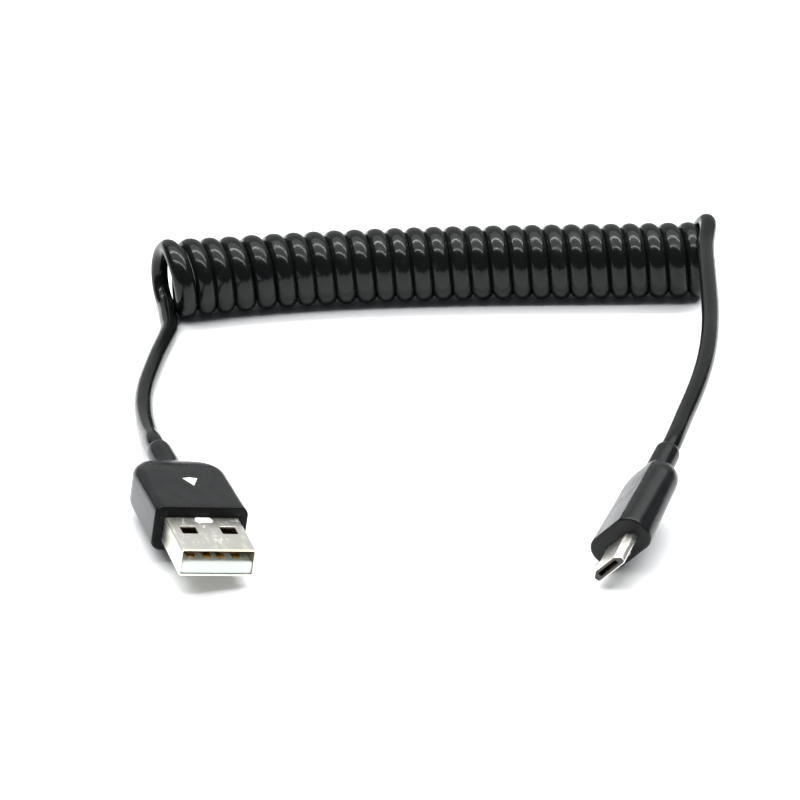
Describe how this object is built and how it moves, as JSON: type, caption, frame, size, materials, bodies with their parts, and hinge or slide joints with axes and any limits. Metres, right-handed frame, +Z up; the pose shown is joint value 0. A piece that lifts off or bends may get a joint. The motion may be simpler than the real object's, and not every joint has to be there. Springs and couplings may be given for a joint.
{
  "type": "coiled micro USB cable",
  "caption": "Coiled black charging cable with a USB-A plug at one end and a micro-B plug at the other.",
  "frame": {"origin": "on the floor, at the middle of the box that holds the two plugs", "axes": "+X along the coil's length, from the USB-A side to the micro-B side; +Y from the plugs back to the coil; +Z up from the floor"},
  "size_m": [0.1027, 0.1181, 0.015],
  "materials": {
    "black_pvc": "satin moulded black PVC",
    "cord_pvc": "glossy black PVC sheath",
    "plated_steel": "bright nickel plate with fine scratches",
    "white_plastic": "white moulded insulator",
    "grey_plastic": "dark grey moulded insulator",
    "brass": "gold-flashed brass"
  },
  "bodies": {
    "root": {"usb_a_overmould": "black_pvc", "usb_a_shell": "plated_steel", "usb_a_tongue": "white_plastic", "usb_a_contact_1": "brass", "usb_a_contact_2": "brass", "usb_a_contact_3": "brass", "usb_a_contact_4": "brass", "micro_overmould": "black_pvc", "micro_shell": "plated_steel", "micro_insert": "grey_plastic", "micro_latch_left": "plated_steel", "micro_latch_right": "plated_steel", "micro_contact_1": "brass", "micro_contact_2": "brass", "micro_contact_3": "brass", "micro_contact_4": "brass", "micro_contact_5": "brass", "coil": "cord_pvc", "tail_a": "cord_pvc", "tail_b": "cord_pvc"}
  },
  "joints": []
}
